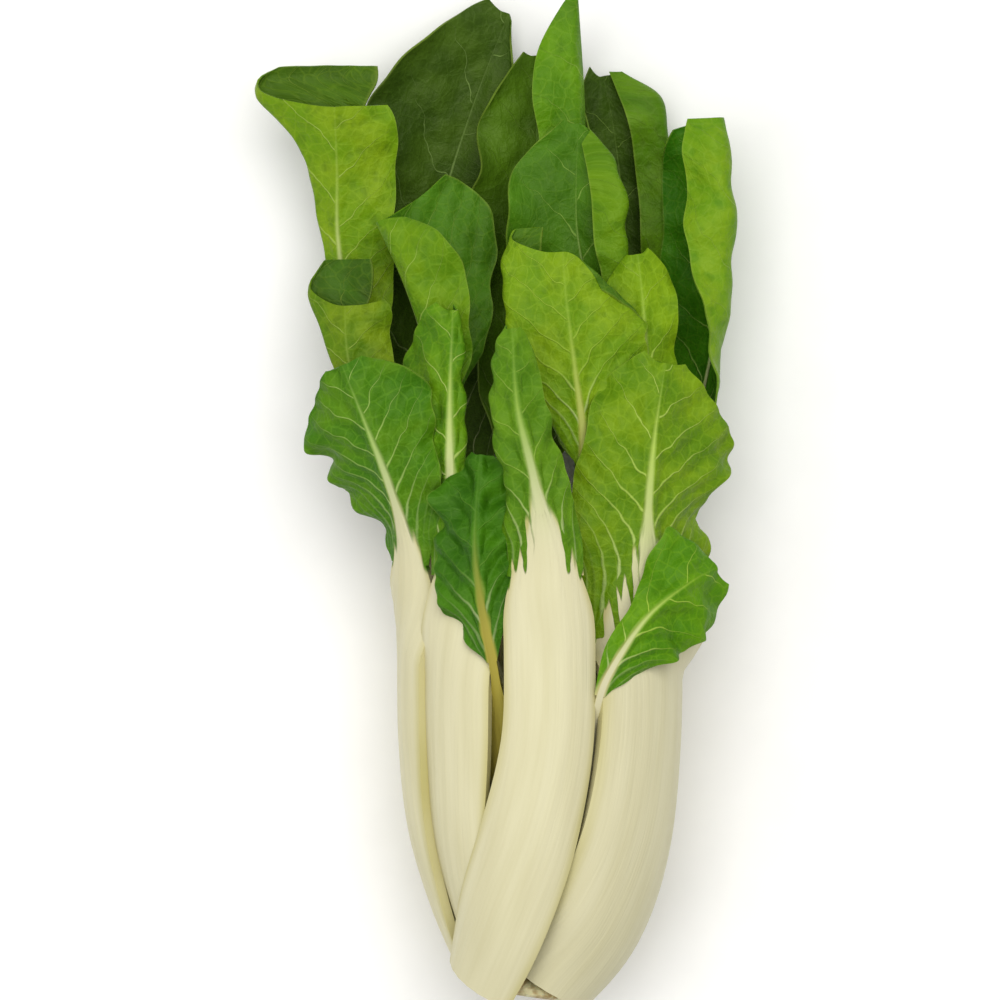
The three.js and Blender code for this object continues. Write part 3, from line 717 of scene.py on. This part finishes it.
low_leaves = [
    dict(
        name="low_right", at=[75, 62], half=[15, 15], ring=[10, 30.5], foot=15, leaves=68, thick=6,
        path=[(25.6, 92, 73), (27.2, 107, 83.4), (32, 120, 87), (45, 139, 85), (60, 151, 79), (71, 157, 70)],
        neck=[46, 80], blade=103, face=[78, 72], wave=[1.6, 3],
        left=dict(reach=[5, 7, 16, 23], tip=9, cup=18, fold=0, start=0.5, end=1, ahead=2),
        right=dict(reach=[13, 20, 23, 23], tip=6, cup=22, fold=0, start=0.5, end=1, ahead=8),
        under=("598804", "437702"), upper=("3d7006", "315f05"), net="74a218", rib="b4d053",
        veins=5, bulge=1.3, ruffle=0.9,
    ),
    dict(
        name="low_left", at=[112, 108], half=[15, 15], ring=[10, 30.5], foot=15, leaves=76, thick=6,
        path=[(-6.6, 102, 75), (-9, 120, 83), (-13, 140, 85.5), (-16, 165, 85), (-14, 198, 80)],
        neck=[72, 108], blade=112, face=[106, 104], wave=[2.4, 4],
        left=dict(reach=[16, 17, 17, 15], tip=4, cup=22, fold=0, start=0.5, end=1, ahead=3),
        right=dict(reach=[8, 13, 18, 18], tip=4, cup=16, fold=0, start=0.5, end=1, ahead=2),
        under=("3d7008", "295905"), upper=("2d5d0a", "204808"), net="4c7c1d", rib="547e25",
        veins=6, bulge=2.6, ruffle=2.0, lobes=0.12, stalk=("a89c44", "8c8030"),
    ),
]

for leaf in low_leaves:
    grow(leaf)


# ---------------------------------------------------------------- The inner leaves
# Four younger leaves stand inside the ring of thick stalks, on stalks about two thirds as thick that grow
# from the core, and fill the head behind the front blades.

inner_leaves = [
    dict(
        name="inner_left", at=[168, 158], half=[15, 20], ring=[9.2, 30.5], foot=15, leaves=112, thick=6,
        path=[(-30, 150, 48), (-44, 185, 48), (-57, 214, 50), (-62, 234, 52), (-63, 254, 53)],
        neck=[92, 162], blade=172, face=[120, 100], wave=[1.6, 3],
        left=dict(reach=[9, 14, 26, 50], tip=9, cup=30, fold=150, start=0.3, end=0.48, ahead=38, crest=0.55),
        right=dict(reach=[12, 15, 16, 17], tip=8, cup=30, fold=0, start=0.5, end=1, ahead=9),
        under=("6c860d", "507306"), upper=("355b0b", "284408"), net="7a9425", rib="94ac4a",
        veins=7, bulge=0.6, ruffle=0.6,
    ),
    dict(
        name="inner_right", at=[30, 18], half=[18, 20], ring=[10, 30.5], foot=15, leaves=112, thick=6,
        path=[(38, 150, 54), (41, 190, 58), (45, 217, 62), (44.5, 245, 62.5), (42, 270, 62)],
        neck=[92, 162], blade=182, face=[84, 86], wave=[1.6, 3],
        left=dict(reach=[10, 14, 14, 13], tip=5, cup=24, fold=0, start=0.5, end=1, ahead=2),
        right=dict(reach=[9, 12, 13, 13], tip=5, cup=26, fold=0, start=0.5, end=1, ahead=4),
        under=("739508", "5d8203"), upper=("4a7206", "3d6105"), net="8cae23", rib="acc656",
        veins=5, bulge=0.5, ruffle=0.4,
    ),
    dict(
        name="inner_low", at=[262, 262], half=[20, 22], ring=[10, 30.5], foot=15, leaves=112, thick=6,
        path=[(2, 150, 15), (3, 190, 16), (5, 230, 16), (6, 265, 16), (6, 300, 16.5), (6, 345, 18)],
        neck=[92, 172], blade=160, face=[268, 272], wave=[1.8, 5],
        left=dict(reach=[18, 24, 24, 20], tip=4, cup=24, fold=0, start=0.5, end=1, ahead=4),
        right=dict(reach=[18, 24, 24, 20], tip=4, cup=26, fold=0, start=0.5, end=1, ahead=4),
        under=("496a0a", "3c5708"), upper=("486a0e", "39560b"), net="46641c", rib="648032",
        veins=9, bulge=0.7, ruffle=0.6,
    ),
    dict(
        name="inner_back", at=[308, 310], half=[18, 20], ring=[10, 30.5], foot=15, leaves=112, thick=6,
        path=[(25.5, 155, 22), (23.5, 195, 26),
              (22.5, 235, 30), (23, 280, 33), (23, 322, 34), (20.5, 365, 34)],
        neck=[92, 172], blade=205, face=[352, 362], wave=[1.4, 4],
        left=dict(reach=[10, 17, 22, 20], tip=3.5, cup=20, fold=60, start=0.1, end=0.35, ahead=2),
        right=dict(reach=[10, 17, 20, 16], tip=3, cup=20, fold=60, start=0.1, end=0.35, ahead=2),
        under=("578407", "437104"), upper=("427009", "315905"), net="729825", rib="90b04a",
        veins=7, bulge=0.5, ruffle=0.5,
    ),
]

for leaf in inner_leaves:
    grow(leaf)


# ---------------------------------------------------------------- The heart
# The three youngest leaves, at the middle of the head: large, smooth and pale blades on thin stalks from
# the tip of the core, rolled or folded along their length as they were in the bud.

heart_leaves = [
    dict(
        name="heart_front", at=[80, 76], half=[18, 20], ring=[6, 20], foot=22, leaves=105, thick=5,
        path=[(20, 143, 63), (22, 175, 68), (22.5, 203, 71), (19.5, 228, 73), (16.5, 252, 73), (15, 273, 70)],
        neck=[72, 126], blade=172, face=[88, 88], wave=[1.4, 3],
        left=dict(reach=[21, 36, 41, 42], tip=8, cup=14, fold=160, start=0.48, end=0.72, ahead=29, crest=0.7),
        right=dict(reach=[20, 27, 29, 28], tip=3, cup=13, fold=0, start=0.5, end=1, ahead=-10),
        under=("73930c", "5f8607"), upper=("41680e", "305609"), net="8aaa28", rib="92b03b",
        veins=7, bulge=0.8, ruffle=0.5, stalk=("b2b662", "9ea650"),
    ),
    dict(
        name="heart_left", at=[140, 136], half=[18, 20], ring=[6, 20], foot=22, leaves=100, thick=5,
        path=[(-15, 140, 55), (-22, 178, 56),
              (-28, 212, 56), (-34, 237, 55.5), (-42, 260, 55), (-53, 284, 54)],
        neck=[72, 126], blade=186, face=[172, 178], wave=[1.6, 3],
        left=dict(reach=[20, 34, 44, 44], tip=8, cup=16, fold=60, start=0.06, end=0.24, ahead=24),
        right=dict(reach=[15, 22, 25, 24], tip=3, cup=12, fold=60, start=0.08, end=0.3, ahead=2),
        under=("618507", "4e7704"), upper=("447412", "37610c"), net="7a9e23", rib="a2c056",
        veins=7, bulge=1.0, ruffle=0.6,
    ),
    dict(
        name="heart_back", at=[330, 335], half=[18, 20], ring=[6, 20], foot=22, leaves=100, thick=5,
        path=[(27, 148, 37), (28, 188, 41), (28, 224, 43), (25, 253, 45), (20.5, 281, 47), (21, 318, 49)],
        neck=[72, 126], blade=184, face=[288, 280], wave=[1.6, 3],
        left=dict(reach=[18, 32, 36, 30], tip=4, cup=14, fold=150, start=0.5, end=0.74, ahead=-4),
        right=dict(reach=[16, 24, 25, 22], tip=4, cup=22, fold=0, start=0.5, end=1, ahead=4),
        under=("5b8006", "497104"), upper=("42700d", "355f09"), net="6c9223", rib="86a84a",
        veins=7, bulge=1.0, ruffle=0.6,
    ),
]

for leaf in heart_leaves:
    grow(leaf)
